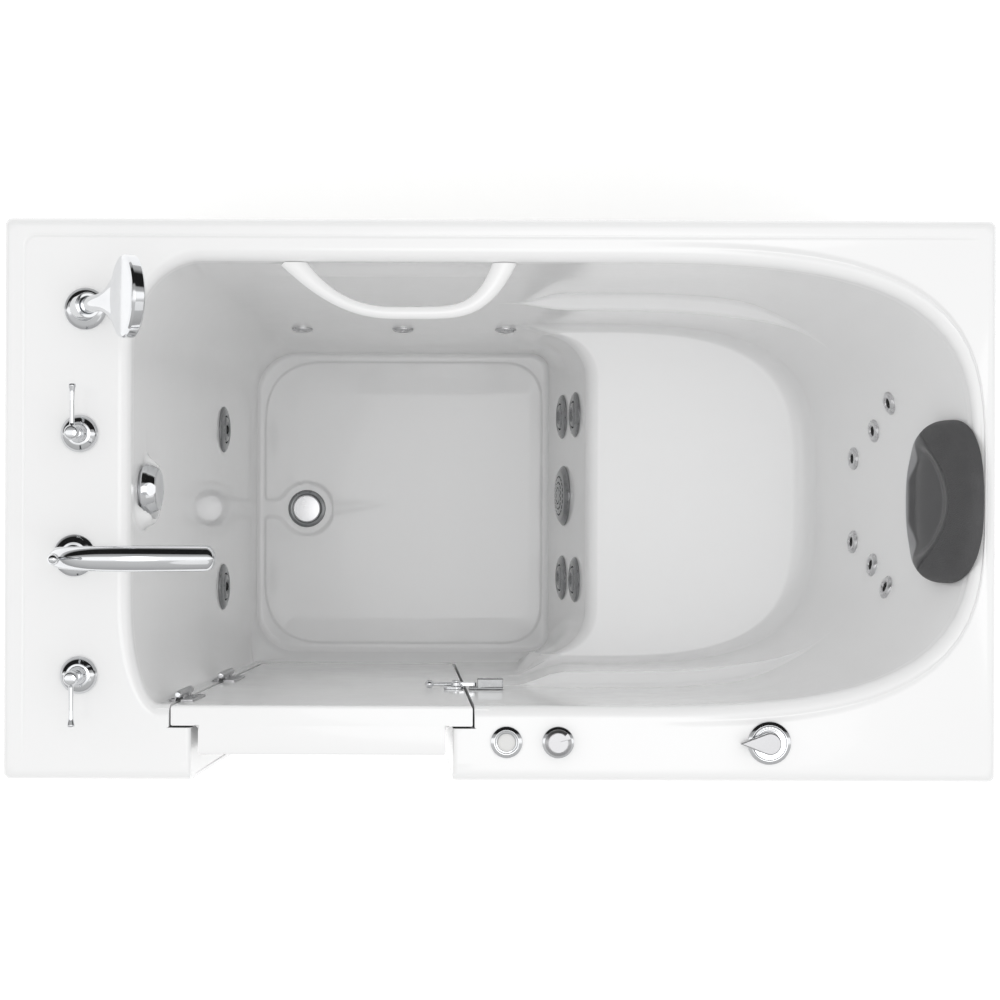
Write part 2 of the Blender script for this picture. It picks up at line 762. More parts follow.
def combined(name, form, finishes, others):
    """A mesh of a form with other forms joined to it or cut from it, in turn."""
    base = bpy.data.objects.new(name, mesh_of(name, form))
    scene.collection.objects.link(base)
    for finish in finishes:
        base.data.materials.append(finish)
    tools = []
    for operation, other in others:
        tool = bpy.data.objects.new("tool", mesh_of("tool", other))
        for finish in finishes:
            tool.data.materials.append(finish)
        scene.collection.objects.link(tool)
        step = base.modifiers.new("step", "BOOLEAN")
        step.operation, step.object, step.solver = operation, tool, "EXACT"
        tools.append(tool)
    made = bpy.data.meshes.new_from_object(base.evaluated_get(bpy.context.evaluated_depsgraph_get()))
    for thing in tools + [base]:
        bpy.data.objects.remove(thing)
    made.name = name
    made.set_sharp_from_angle(angle=math.radians(35))
    return made


def rounding(far, radius):
    """How much a quarter round of that radius takes off, so far from its end."""
    return radius - math.sqrt(max(0.0, radius ** 2 - (radius - far) ** 2)) if far < radius else 0.0


def leaf_cutter(grow, low, y0, y1, r, flare, mouth):
    """The cutter of one leaf's doorway, flared by a quarter round at its two mouths."""
    def outline(y):
        more = rounding(min(abs(y - y0), abs(y1 - y)), flare)
        return door_outline(grow + more, low - more, deck_z + 20, r, mouth)
    eased = [flare * e for e in easing]
    return across(outline, [y0 + e for e in eased] + [y1 - e for e in reversed(eased)])


jamb = across(lambda y: door_outline(22, sill_z - 40, deck_z - 4, 60), (jamb_out, jamb_in))
inner_low, outer_end = door_z - door_gap - 0.5, -half_w - 5
inner_way = leaf_cutter(door_gap, inner_low, leaf_seat, -262, door_r + door_gap, 2.5, 1.5)
outer_way = leaf_cutter(outer_gap - leaf_step, outer_low - outer_gap, outer_end, leaf_seat + 2, door_r, 0.8,
                        7)
hole_r, at_drain = 27.5, moved(drain_x, drain_y, 0)
drain_hole = lathe([(0, floor_z - 20), (hole_r, floor_z - 20), (hole_r, floor_z + 20), (0, floor_z + 20)])
tub_form = moulded_sheet(tub_rings(), sheet_t)
tub_mesh = combined("moulded_tub", tub_form, [acrylic, glass_fibre],
                    [("UNION", jamb), ("DIFFERENCE", inner_way), ("DIFFERENCE", outer_way),
                     ("DIFFERENCE", drain_hole.at(at_drain))])
tub = piece("moulded_tub", tub_mesh, [acrylic, glass_fibre], "tub", ["tub_shell"])
tub.modifiers.new("shading", "WEIGHTED_NORMAL").keep_sharp = True

# ---------------------------------------------------------------------------
# Door: a moulded acrylic leaf on the bathing side and a stepped leaf on the
# outside, glued back to back, with a rubber gasket in the step between them.


def leaf(grow, low, y0, y1, outside, inside, top_outside, top_inside):
    """A leaf from y0 to y1 with its sides and its top rounded over towards the outside and the inside."""
    def outline(y):
        less = rounding(y - y0, outside) + rounding(y1 - y, inside)
        top = deck_z - rounding(y - y0, top_outside) - rounding(y1 - y, top_inside)
        return door_outline(grow - less, low + less, top, door_r)
    return across(outline, [y0 + outside * e for e in easing] + [y1 - inside * e for e in reversed(easing)])


def stand_in(node, shape, finish, body, bevel=0.0):
    """A piece of one finish that stands for one node, from its form or its mesh."""
    name = node + "_made"
    mesh = mesh_of(name, shape) if isinstance(shape, Form) else shape
    return piece(name, mesh, [finish], body, [node], bevel)


stand_in("door_inner_leaf", leaf(0, door_z, leaf_back, rim_front, 2, 5, 0, 5), acrylic, "door")
outer_leaf = leaf(-leaf_step, outer_low, outer_back, leaf_back + 1, 3, 1, 3, 1)
# Both leaves are laid up as one skin, with a small cove between their edges
cove_r, bite = 7, 0.5
cove = [(0, 0)] + [(cove_r * (1 - math.sin(a)), -cove_r * (1 - math.cos(a)))
                   for a in (math.radians(10 * i) for i in range(10))]
for side, edge_at in ((-1, door_left_at), (1, door_right_at)):
    outer_leaf += skin([[(edge_at(z) - side * leaf_step + side * (x - bite), leaf_back + y + bite, z) for x,
                         y in cove]
                        for z in (outer_low + door_r, deck_z)])
stand_in("door_outer_leaf", outer_leaf, acrylic, "door")
dress(rubber, "door_gasket")

# ---------------------------------------------------------------------------
# Grab bar: cast with the same acrylic skin, an arch whose two flared ends
# are bonded to the back wall, with the wall hollowed a little behind it.
grab_left, grab_right, grab_z, grab_reach, grab_r = -287, 7, 996, 68, 8.5
back_lean = math.degrees(math.atan((rim_back - floor_back) / (wall_top - floor_z)))


def grab_path(u):
    power = 2.4 if u < 0 else 5
    return Vector((mix(grab_left, grab_right, (u + 1) / 2),
                   back_at(grab_z) + 6 - (grab_reach + 6) * (1 - abs(u) ** power), grab_z))


def tube_through(stations, sides=24):
    """A form through ovals, each a middle, two axes and their two radii."""
    turns = [2 * math.pi * j / sides for j in range(sides)]
    return skin([[middle + across_way * (wide * math.cos(a)) + up_way * (high * math.sin(a)) for a in turns]
                 for middle, across_way, up_way, wide, high in stations])


def cut(name, form, finish, away):
    """A mesh of one finish: a form with another cut from it."""
    return combined(name, form, [finish], [("DIFFERENCE", away)])


grab_stations = []
for k in range(97):
    u = math.sin(math.radians(-90 + 180 * k / 96))
    way = (grab_path(min(1, u + 0.01)) - grab_path(max(-1, u - 0.01))).normalized()
    wide = grab_r * (1 + 0.9 * u ** 4)
    grab_stations.append((grab_path(u), Vector((way.y, -way.x, 0)), Vector((0, 0, 1)), wide, grab_r))
at_grab = moved(0, back_at(grab_z) - gap, grab_z) @ turned("X", -back_lean)
x0, x1 = grab_left - 100, grab_right + 100
behind_wall = prism([(x0, 0), (x1, 0), (x1, 60), (x0, 60)], -50, 50).at(at_grab)
grab = cut("grab_bar_made", tube_through(grab_stations), acrylic, behind_wall)
stand_in("grab_bar", grab, acrylic, "tub")

# ---------------------------------------------------------------------------
# Drain: a chromed brass flange screwed to the tailpiece through the floor,
# with a domed stopper whose stem slides in a three-armed guide.
stopper_r, drain_r = 24.5, 32.5


def plating(name, scale, detail, low, high, rough, rougher, stretch=(1, 1, 1), relief=0.0):
    """A plated metal that a noise makes brighter and rougher from spot to spot."""
    metal = Finish(name, Metallic=1.0)
    film = metal.noise(scale, detail, stretch)
    metal.varies(Base_Color=metal.between(film, (*low, 1), (*high, 1)), Roughness=rough + film * rougher)
    if relief:
        metal.bump(film, relief, 0.0001)
    return metal.material


# Chrome with a trace of wiping marks, chrome dulled by lime under the water line, and chrome rubbed to a
# satin face, as on the stopper under the foot
chrome = plating("polished_chrome", 25, 3, (0.72, 0.73, 0.75), (0.80, 0.81, 0.82), 0.04, 0.07, (1, 3, 1))
limed = plating("limed_chrome", 90, 4, (0.20, 0.205, 0.21), (0.30, 0.305, 0.31), 0.22, 0.15)
rubbed_chrome = plating("satin_chrome", 140, 3, (0.60, 0.60, 0.61), (0.68, 0.68, 0.69), 0.24, 0.10)
sleeve = lathe([(22.5, floor_z - 30), (26.8, floor_z - 30, 0.6), (26.8, floor_z + 0.15),
                (drain_r, floor_z + 0.15, 0.3),
                (drain_r - 1, floor_z + 1.8, 1), (stopper_r + 3, floor_z + 3.1, 1), (stopper_r - 0.6,
                                                                                     floor_z + 2.2, 0.8),
                (22.5, floor_z - 1, 1)], 72)
arms = lathe([(5.06, floor_z - 26), (8, floor_z - 26, 1), (8, floor_z - 20, 1), (5.06, floor_z - 20)], 32)
for angle in (90, 210, 330):
    arms += prism([(7.5, -2), (23, -2), (23, 2), (7.5, 2)], floor_z - 26, floor_z - 20).at(turned("Z", angle))
stand_in("drain_flange", (sleeve + arms).at(at_drain), limed, "tub")
stopper = (lathe([(0, floor_z - 36), (5, floor_z - 36, 0.8), (5, floor_z + 3.5), (stopper_r - 2,
                                                                                  floor_z + 3.3, 0.4),
                  (stopper_r - 0.4, floor_z + 5, 0.8), (stopper_r - 2.4, floor_z + 7.2, 1.5),
                  (0, floor_z + 7.8)], 72))
stand_in("drain_stopper", stopper.at(at_drain), rubbed_chrome, "drain_stopper")
dress(steel, "drain_tailpiece", "overflow_body", "valve_bodies")

# ---------------------------------------------------------------------------
# Overflow: a chromed knob on the left wall. Water leaves behind it, and it
# turns to work the stopper.
left_lean = math.degrees(math.atan((floor_left - rim_left) / (wall_top - floor_z)))
at_overflow = moved(left_at(overflow_z), overflow_y, overflow_z) @ turned("Y", 90 - left_lean)
knob = lathe([(0, 3.6), (overflow_r - 1, 3.6, 1), (overflow_r, 6, 1), (overflow_r - 1.6, 12, 8),
              (overflow_r - 6, 20, 4),
              (overflow_r - 8, 23.4, 3), (overflow_r - 14, 23.9, 2), (0, 22.6)], 72) \
    + lathe([(0, -8), (6, -8, 1), (6, 4), (0, 4)], 24)
finger = lathe([(0, -2), (9, -2), (9, 14), (0, 14)], 40).at(moved(-overflow_r - 2, 0, 16) @ turned("Y", 90))
knob_mesh = cut("overflow_knob_made", knob.at(at_overflow), chrome, finger.at(at_overflow))
stand_in("overflow_knob", knob_mesh, chrome, "overflow_knob")

# ---------------------------------------------------------------------------
# Water jets: chrome-plated trim rings snapped over moulded bodies behind the
# wall, each with a nozzle that turns to aim its stream.
jet_r, nozzle_r, nozzle_hole = 37, 22, 7
riser_lean = math.degrees(math.atan((riser_top - riser_foot) / (seat_z - floor_z)))
jet_places = [moved(left_at(400), y, 400) @ turned("Y", 90 - left_lean) for y in (112, -141)]
jet_places += [moved(riser_at(z), y, z) @ turned("Y", riser_lean - 90) for y in (140, -130)
               for z in (338, 235)]


def repeated(node, form, places, finish):
    """A piece of the tub that stands for one node, with its form at every place."""
    return stand_in(node, repeat(node + "_made", form, places, finish), finish, "tub")


# Bright plating on moulded plastic, a little softer and darker than chrome on brass
plated = plating("plated_plastic", 120, 3, (0.27, 0.275, 0.28), (0.36, 0.365, 0.37), 0.12, 0.12)
ring = lathe([(nozzle_r + 0.06, -24), (nozzle_r + 3, -24, 0.5), (nozzle_r + 3, 0.15), (jet_r - 0.5, 0.15,
                                                                                       0.4), (jet_r, 1.4,
                                                                                              0.6),
              (jet_r - 3, 3.8, 3), (jet_r - 7, 5.2, 2), (nozzle_r + 4, 6.4, 2), (nozzle_r + 0.4, 5.2, 1),
              (nozzle_r + 0.06, 3.5)], 56)
repeated("jet_rings", ring, jet_places, plated)
nozzle = lathe([(0, -20), (nozzle_r, -20, 1), (nozzle_r, 2, 1.5), (nozzle_r - 3, 6.2, 3), (14, 8, 3),
                (9, 4.5, 3), (0, 3.6)], 56)
mouth = lathe([(0, -12), (nozzle_hole, -12), (nozzle_hole, 30), (0, 30)], 32).at(moved(5, 0, 0))
for i, place in enumerate(jet_places):
    node = f"jet_nozzle_{i + 1}"
    stand_in(node, cut(node + "_made", nozzle.at(place), plated, mouth.at(place)), plated, node)

# ---------------------------------------------------------------------------
# Suction cover: a domed plate of plated plastic over the pump's intake in
# the riser, with three rings of slots and a collar that fits the pipe.
suction_place = moved(riser_at(250), 7.5, 250) @ turned("Y", riser_lean - 90)
cover = lathe([(0, 3), (26, 3), (26, -28), (30, -28, 0.5), (30, 0.15), (49.5, 0.15, 0.5), (50, 2.6, 1.5),
               (42, 8.6, 6), (20, 10.8, 20),
               (0, 11.2)], 72)
oval = [p for start in (0, 90, 180, 270) for p in quarter(0, 0, 1.5, 4, start, 4)][:-1]
slot = prism(oval, 1, 20)
slots = Form()
for row, (radius, number) in enumerate(((13, 8), (22, 14), (32, 20))):
    for i in range(number):
        slots += slot.at(turned("Z", 360 * (i + 0.5 * (row % 2)) / number) @ moved(radius, 0, 0))
suction = cut("suction_cover_made", cover.at(suction_place), plated, slots.at(suction_place))
stand_in("suction_cover", suction, plated, "tub")

# ---------------------------------------------------------------------------
# Small air jets: three in the back wall of the foot well and six in a V up
# the backrest, each a plated cap with a dished mouth.


def backrest_point(y, z):
    front, back = seat_front_at(z), back_at(z)
    off_middle = abs(y - (back + front) / 2) / ((back - front) / 2)
    return Vector((bend_to + (right_at(z) - bend_to) * (1 - off_middle ** end_power) ** (1 / end_power), y,
                   z))


def on_backrest(y, z):
    """Stands a part on the backrest with its axis out of the wall."""
    p = backrest_point(y, z)
    way = (backrest_point(y + 1, z) - p).cross(backrest_point(y, z + 1) - p).normalized()
    if way.x > 0:
        way = -way
    tilt = math.acos(way.z)
    round_z = math.atan2(way.y, way.x)
    return Matrix.Translation(p) @ Matrix.Rotation(round_z, 4, "Z") @ Matrix.Rotation(tilt, 4, "Y")


# The same plating where it stands in the light and is rubbed clean
bright = plating("bright_plastic", 120, 3, (0.62, 0.62, 0.63), (0.72, 0.72, 0.73), 0.22, 0.12)
small_r = 17
small_jet = lathe([(7, -30), (small_r - 0.3, -30, 0.5), (small_r - 0.3, 0), (small_r, 0.3, 0.4),
                   (small_r, 2.4, 1), (small_r - 3.5, 5.2, 2),
                   (9.5, 5.4, 1), (7.4, 3.8, 1), (7, 2, 1)], 40)
back_places = [moved(x, back_at(400), 400) @ turned("X", 90 - back_lean) for x in (-319, -157, 8)]
repeated("back_wall_jets", small_jet, back_places, bright)
rest_places = [on_backrest(y, z) for y, z in
               ((144, 753), (105, 686), (65, 607), (-62, 607), (-95, 686), (-126, 753))]
repeated("backrest_jets", small_jet, rest_places, bright)
# The jets' dark throats
throat = lathe([(0, -2), (7.1, -2), (7.1, 3.2, 0.3), (2.4, 2.2), (2, 0), (0, 0)], 32)
for name, places, node in (("back_wall_throats", back_places, "back_wall_jets"),
                           ("backrest_throats", rest_places, "backrest_jets")):
    piece(name, repeat(name, throat, places, rubber), [rubber], "tub", [node])

# ---------------------------------------------------------------------------
# Taps: a hot and a cold valve on the left deck, each with a domed escutcheon
# and a turned lever handle. All brass, chrome-plated.
tap_places = [(-569.5, 88), (-569.5, -239)]
tap_lever_l = 65


def escutcheon(radius, bore, height):
    return lathe([(bore, 0), (radius - 0.6, 0, 0.4), (radius, 1.8, 0.8), (radius * 0.86, height * 0.62, 9),
                  (bore + 4, height - 0.4, 3),
                  (bore, height, 0.5)], 56)


tap_plates = [moved(x, y, deck_z + gap) for x, y in tap_places]
repeated("valve_escutcheons", escutcheon(25.5, 12, 11), tap_plates, chrome)
lever = lathe([(0, -2), (4.6, -2), (4.6, 8, 1), (3.4, 12, 2), (3.1, tap_lever_l - 22, 20),
               (3.6, tap_lever_l - 10, 20),
               (5.2, tap_lever_l - 2.5, 3), (4.6, tap_lever_l, 2), (0, tap_lever_l + 0.2)], 32)
hub = lathe([(0, 39), (5.06, 39), (5.06, 0), (13, 0, 0.6), (12.6, 3, 1), (11.8, 5.6, 2), (9.2, 9, 3),
             (8.4, 20, 12), (8.4, 38, 12),
             (10, 44, 3), (10.4, 52, 3), (8.2, 57, 3), (0, 58.4)], 48)
for name, (x, y), turn in (("hot_handle", tap_places[0], 90), ("cold_handle", tap_places[1], -90)):
    handle = hub + lever.at(moved(0, 0, 48) @ turned("Y", 90))
    stand = moved(x, y, deck_z + 11 + 2 * gap) @ turned("Z", turn)
    stand_in(name, handle.at(stand), chrome, name)

# ---------------------------------------------------------------------------
# Spout: a cast brass swan neck that widens towards its mouth, with an
# aerator in its underside and a rod behind its arch that lifts to send the
# water to the hand shower.
spout_x, spout_y, spout_h, spout_reach, spout_bend = -576, -77, 165, 196, 62
spout_foot = deck_z + 8 + gap


def spout_path(u):
    rise, a = spout_h - spout_bend, math.radians(90 * min(1, max(0, (u - 0.3) / 0.35)))
    flat, reach = max(0, (u - 0.65) / 0.35), spout_reach - spout_bend - 16
    if u < 0.3:
        return Vector((0, 0, rise * u / 0.3))
    z = rise + spout_bend * math.sin(a) - 26 * flat * flat
    return Vector((spout_bend * (1 - math.cos(a)) + reach * flat, 0, z))


neck = []
for k in range(65):
    u = k / 64
    way = (spout_path(min(1, u + 0.01)) - spout_path(max(0, u - 0.01))).normalized()
    wide, high = mix(13, 17, smooth((u - 0.2) / 0.6)), mix(13, 11.5, smooth((u - 0.2) / 0.5))
    neck.append((spout_path(u), Vector((0, 1, 0)), Vector((-way.z, 0, way.x)), wide, high))
tip, tip_way = spout_path(1), (spout_path(1) - spout_path(0.99)).normalized()
tip_up = Vector((-tip_way.z, 0, tip_way.x))
for a in (math.radians(90 * k / 10) for k in range(11)):
    drawn_in = math.cos(a) ** 0.8
    neck.append((tip + tip_way * (15 + 14 * math.sin(a)), Vector((0, 1, 0)), tip_up,
                 max(0.4, 17 * drawn_in), max(0.3, 11.5 * drawn_in)))
neck_form = tube_through(neck, 40) + lathe([(0, -1), (13, -1), (14.6, 0, 0.8), (14.6, 5, 0.8), (13, 6),
                                            (0, 6)], 40)
boss = lathe([(11.2, -12), (13.5, -12, 0.8), (14.5, 0), (0, 0), (0, -4), (11.2, -4)], 40).at(moved(tip.x, 0,
                                                                                                   tip.z - 4))
spout_place = moved(spout_x, spout_y, spout_foot)
stand_in("spout", (neck_form + boss).at(spout_place), chrome, "tub")
spout_plate = escutcheon(28.5, 14, 8).at(moved(spout_x, spout_y, deck_z + gap))
stand_in("spout_escutcheon", spout_plate, chrome, "tub")
aerator = lathe([(0, -19), (8.4, -19), (8.4, -22), (11, -22, 0.6), (11, -9), (0, -9)],
                40).at(moved(tip.x, 0, tip.z))
stand_in("aerator", aerator.at(spout_place), plated, "tub")
rod = lathe([(0, -40), (3, -40, 0.5), (3, 34), (4.5, 34, 0.5), (4.5, 37.4, 1), (3.6, 38), (5.4, 39.2, 2),
             (8, 44, 5),
             (5.4, 50.4, 5), (0, 52)], 40)
at_rod = moved(spout_x + 10, spout_y, deck_z + spout_h)
stand_in("diverter_knob", rod.at(at_rod), chrome, "diverter_knob")

# ---------------------------------------------------------------------------
# Hand shower: a plated moulding with a trumpet grip and a round head, held
# in a leaning cup on the deck, with a white spray plate full of nozzles.
holder_x, holder_y, shower_lean, shower_r = -562, 257, 25, 53
cup_z, grip_r, cup_depth, head_t, head_at = deck_z + 34, 11, 34, 20, 190
at_cup = moved(holder_x, holder_y, cup_z) @ turned("Y", shower_lean)
cup = lathe([(0, -6), (14, -6, 6), (16, 2, 4), (17.2, cup_depth - 3, 30), (17.4, cup_depth, 1),
             (12, cup_depth, 1), (grip_r + 0.1, cup_depth - 1.5, 0.6),
             (grip_r + 0.1, 0), (0, 0)], 48).at(at_cup)
stalk = escutcheon(28.5, 12, 9).at(moved(holder_x, holder_y, deck_z + gap)) \
    + lathe([(0, 8), (19, 8, 2), (17, 11, 4), (16.4, 31, 3), (0, 42)], 48).at(moved(holder_x, holder_y,
                                                                                    deck_z))
stand_in("shower_holder", cup + stalk, chrome, "tub")
grip = []
for k in range(41):
    t = k / 40
    swell = smooth((t - 0.3) / 0.7)
    grip.append((Vector((mix(0, 9, swell), 0, mix(gap, 156, t))), Vector((0, 1, 0)), Vector((1, 0, 0)),
                 mix(grip_r, 42, swell ** 3), mix(grip_r, 8, swell)))
head = lathe([(0, -1.6), (shower_r - 6, -1.2, 3), (shower_r - 1.6, 0.4, 1.2), (shower_r, 3.2, 1.6),
              (shower_r, head_t - 5, 1.5),
              (shower_r - 3, head_t - 3, 1.2), (shower_r - 5, head_t - 4.6, 0.6), (shower_r - 5, 11),
              (0, 11)],
             72).at(moved(0, 0, head_at) @ turned("Y", 90))
stand_in("hand_shower", (tube_through(grip, 40) + head).at(at_cup), chrome, "hand_shower")


def white_plastic():
    """Injection-moulded white plastic with a fine spark texture."""
    plastic = Finish("white_plastic", IOR=1.46)
    cloud = plastic.noise(30, 3)
    plastic.varies(Base_Color=plastic.between(cloud, (0.74, 0.74, 0.73, 1), (0.80, 0.80, 0.79, 1)),
                   Roughness=0.32 + cloud * 0.12)
    plastic.bump(plastic.noise(1200, 1), 0.12, 0.0001)
    return plastic.material


white = white_plastic()
spray = lathe([(0, 0), (shower_r - 5.3, 0), (shower_r - 5.3, 5.4, 0.6), (shower_r - 12, 6, 3), (18, 5.4, 4),
               (14, 4.2, 2), (0, 4.6)], 72)
nub = lathe([(0, 4), (1.3, 4), (1.3, 6.1), (0.8, 6.5, 0.3), (0.5, 5.6), (0, 5.6)], 12)
spray_place = at_cup @ moved(head_t - 9 + gap, 0, head_at) @ turned("Y", 90)
nub_places = [spray_place @ turned("Z", 360 * (i + 0.5 * (k % 2)) / number) @ moved(radius, 0, 0)
              for k, (radius, number) in enumerate(((9, 8), (22, 18), (29, 24), (36, 30), (42, 36)))
              for i in range(number)]


def joined(name, meshes):
    """One mesh of one finish from several."""
    shape = bmesh.new()
    for mesh in meshes:
        shape.from_mesh(mesh)
    made = bpy.data.meshes.new(name)
    shape.to_mesh(made)
    shape.free()
    made.polygons.foreach_set("use_smooth", [True] * len(made.polygons))
    made.polygons.foreach_set("material_index", [0] * len(made.polygons))
    made.set_sharp_from_angle(angle=math.radians(35))
    return made


nubs = repeat("nubs", nub, nub_places, white)
spray_face = joined("hand_shower_face_made", [mesh_of("plate", spray.at(spray_place)), nubs])
stand_in("hand_shower_face", spray_face, white, "hand_shower")

# ---------------------------------------------------------------------------
# Controls on the front deck: three bezels with a push button for the pump, a
# round air knob and a pointer that shares the water between the jets.
control_y, bezel_h = -328, 4
button_x, knob_x, pointer_x = 10, 80, 366


# Plating over a fine spun texture, duller than the bright chrome beside it
satin = plating("satin_metal", 400, 2, (0.46, 0.46, 0.47), (0.55, 0.55, 0.56), 0.24, 0.14, (1, 1, 0.2), 0.1)


def bezel(x, radius, bore, dish):
    """A bezel's flange, its tail through the deck and the nut under the deck."""
    flange = lathe([(bore, -30), (bore, dish), (bore + 1, dish + 0.4, 0.4), (radius - 7, dish + 0.6, 1),
                    (radius - 6, bezel_h, 0.5), (radius - 5, bezel_h + 0.1, 0.6),
                    (radius - 0.5, 2, 0.6), (radius, gap, 0.3), (15, gap), (15, -40), (bore + 0.2, -40)], 72)
    nut = lathe([(15.1, -12.3), (21, -12.3, 1), (21, -6.3, 1), (15.1, -6.3)], 24)
    return (flange + nut).at(moved(x, control_y, deck_z))


bezels = bezel(button_x, 21.75, 12.1, 2.4) + bezel(knob_x, 21.75, 6.06, 2.6) + bezel(pointer_x, 29.5, 6.06,
                                                                                     2.6)
# The dial has a raised ring and plain ticks at its top and bottom
at_dial = moved(pointer_x, control_y, deck_z)
bezels += lathe([(17.2, 2.6), (18, 3.7, 0.3), (19, 3.7, 0.3), (19.8, 2.6)], 72).at(at_dial)
tick = prism([(20.4, -0.35), (22.6, -0.35), (22.6, 0.35), (20.4, 0.35)], 2.8, 3.8)
for angle in (68, 79, 90, 101, 112, 256, 270, 284):
    bezels += tick.at(at_dial @ turned("Z", angle))
stand_in("control_bezels", bezels, chrome, "tub")
button = lathe([(0, -22), (12, -22), (12, 5.4, 0.6), (9.4, 6.9, 0.6), (8.8, 6.6, 0.4), (0, 6.3)], 56)
stand_in("push_button", button.at(moved(button_x, control_y, deck_z)), white, "push_button")
knob = lathe([(0, -25), (6, -25), (6, bezel_h + 0.6), (18, bezel_h + 0.6, 0.5), (18, 11, 1),
              (13.8, bezel_h + 9.2, 0.6), (13, bezel_h + 8.9, 0.3),
              (0, bezel_h + 8.9)], 72)
notch = prism([(-5, 19), (5, 19), (0, 3)], bezel_h + 6.6, bezel_h + 20).at(turned("Z", -58))
at_knob = moved(knob_x, control_y, deck_z)
knob_cut = cut("air_knob_made", knob.at(at_knob), satin, notch.at(at_knob))
stand_in("air_knob", knob_cut, satin, "air_knob", bevel=0.3)
tear = [(-41, 0)] + [(15 * math.cos(a), 15 * math.sin(a)) for a in (math.radians(d)
                                                                    for d in range(-110, 111, 10))]
pointer = prism(tear, bezel_h + 0.6, bezel_h + 11) + lathe([(0, -25), (6, -25), (6, 5), (0, 5)], 32)
stand_in("water_diverter", pointer.at(at_dial), satin, "water_diverter", bevel=1.6)

# ---------------------------------------------------------------------------
# Hinges: two butt hinges with turned knuckles between the left wall's return
# and the door's inner leaf, screwed on, with a pin that has a head each end.
knuckle_r, hinge_l, pin_r, leaf_metal = 5, 100, 2.5, 2.5
hinge_y = rim_front + knuckle_r + leaf_metal + 2
hinge_lean = -math.degrees(math.atan(door_slope))
hinge_places = [moved(door_left_at(z), hinge_y, z) @ turned("Y", hinge_lean) for z in (552, 912)]
knuckle_l = hinge_l / 5
wall_y = rim_front - hinge_y


def knuckle(i):
    low = -hinge_l / 2 + i * knuckle_l + gap / 2
    high = low + knuckle_l - gap
    return lathe([(pin_r + 0.06, low), (knuckle_r, low, 0.5), (knuckle_r, high, 0.5), (pin_r + 0.06, high)],
                 32)


def hinge_leaf(side, width, knuckles):
    """A plate with its screws, and a web out to each of its knuckles."""
    near, far = 3.5 * side, width * side
    low = wall_y + gap / 2
    # Its far corners are rounded
    r, half = 5, hinge_l / 2
    below = [(near, -half), (far - side * r, -half), (far - side * 1.5, 1.5 - half), (far, r - half)]
    outline = below + [(x, -z) for x, z in reversed(below)]
    made = prism(outline, -low - leaf_metal, -low).at(turned("X", 90))
    for i in knuckles:
        made += knuckle(i)
        z0 = -hinge_l / 2 + i * knuckle_l + gap / 2
        web = [(side * 4.9, low), (side * 4.9, low + leaf_metal), (side * 4.6, -1), (side * 2.9, 1.2),
               (side * 2.6, -3.4), (side * 3.4, low)]
        made += prism(web, z0, z0 + knuckle_l - gap)
    head = lathe([(0, 0), (2.9, 0, 0.3), (2.2, 0.9, 0.7), (0.6, 1.1), (0.5, 0.5), (0, 0.5)], 20)
    for z in (-36, -12, 12, 36):
        made += head.at(moved(mix(near, far, 0.62), low + leaf_metal, z) @ turned("X", -90))
    return made


for name, side, width, knuckles, body in (("hinge_frame_leaves", -1, 14, (0, 2, 4), "tub"),
                                          ("hinge_door_leaves", 1, 22, (1, 3), "door")):
    part = hinge_leaf(side, width, knuckles)
    stand_in(name, part.at(hinge_places[0]) + part.at(hinge_places[1]), satin, body, bevel=0.35)
upper_end = [(pin_r, 50.3), (4.5, 50.3, 0.3), (4.5, 52.4, 0.8), (3.4, 53.3, 1), (0, 53.3)]
lower_end = [(p[0], -p[1], *p[2:]) for p in reversed(upper_end)]
repeated("hinge_pins", lathe(lower_end + upper_end, 32), hinge_places, chrome)

# ---------------------------------------------------------------------------
# Latch: a ball-ended lever turns on a bracket on the door, and its tail bears
# on a keeper screwed to the wall beside it.
latch_z, lever_l, ball_r, bracket_t, lever_t = 730, 34, 6.3, 4, 6
pivot_x = door_right_at(latch_z) - 14
latch_back = rim_front + gap
lever_y = latch_back + bracket_t + gap


def pad(first, second, r1, r2, low, high, steps=14):
    """A plate round two circles on one line."""
    outline = []
    for (x, y), r, start in ((first, r1, 90), (second, r2, -90)):
        turns = [math.radians(start + 180 * i / steps) for i in range(steps + 1)]
        outline += [(x + r * math.cos(a), y + r * math.sin(a)) for a in turns]
    return prism(outline, low, high)


at_bracket = moved(pivot_x, latch_back, latch_z) @ turned("X", -90)
bracket = pad((-10, 0), (0, 0), 8, 11, 0, bracket_t) \
    + lathe([(0, 1), (3, 1), (3, 10.9), (6, 10.9, 0.3), (6, 12.6, 1.2), (3, 13.5, 2), (0, 13.6)], 32)
stand_in("latch_bracket", bracket.at(at_bracket), chrome, "door", bevel=0.5)
at_lever = moved(pivot_x, lever_y, latch_z) @ turned("X", -90)
tail = prism([(2, -6), (24, -4.6), (28, -3.6), (30, 0), (28, 3.6), (24, 4.6), (2, 6)], 0.4, lever_t - 0.2)
eye = lathe([(3.06, 0), (8, 0, 0.8), (8, lever_t, 0.8), (3.06, lever_t)], 40)
ball = [(ball_r * math.sin(a), lever_l + ball_r - 1 - ball_r * math.cos(a))
        for a in (math.radians(d) for d in range(24, 181, 12))]
at_arm = moved(0, 0, lever_t / 2) @ turned("Y", -90)
arm = lathe([(0, 5), (2.7, 5), (2.5, 16), (2.2, lever_l - 1, 1)] + ball, 32).at(at_arm)
stand_in("latch_lever", (eye + tail + arm).at(at_lever), chrome, "latch_lever", bevel=0.4)


def upright_plate(x0, x1, half0, half1, y0, y1):
    """A plate that stands on edge round the latch's height, with a half height at each end."""
    return across(lambda y: [(x0, latch_z - half0), (x1, latch_z - half1), (x1, latch_z + half1),
                             (x0, latch_z + half0)], [y0, y1])


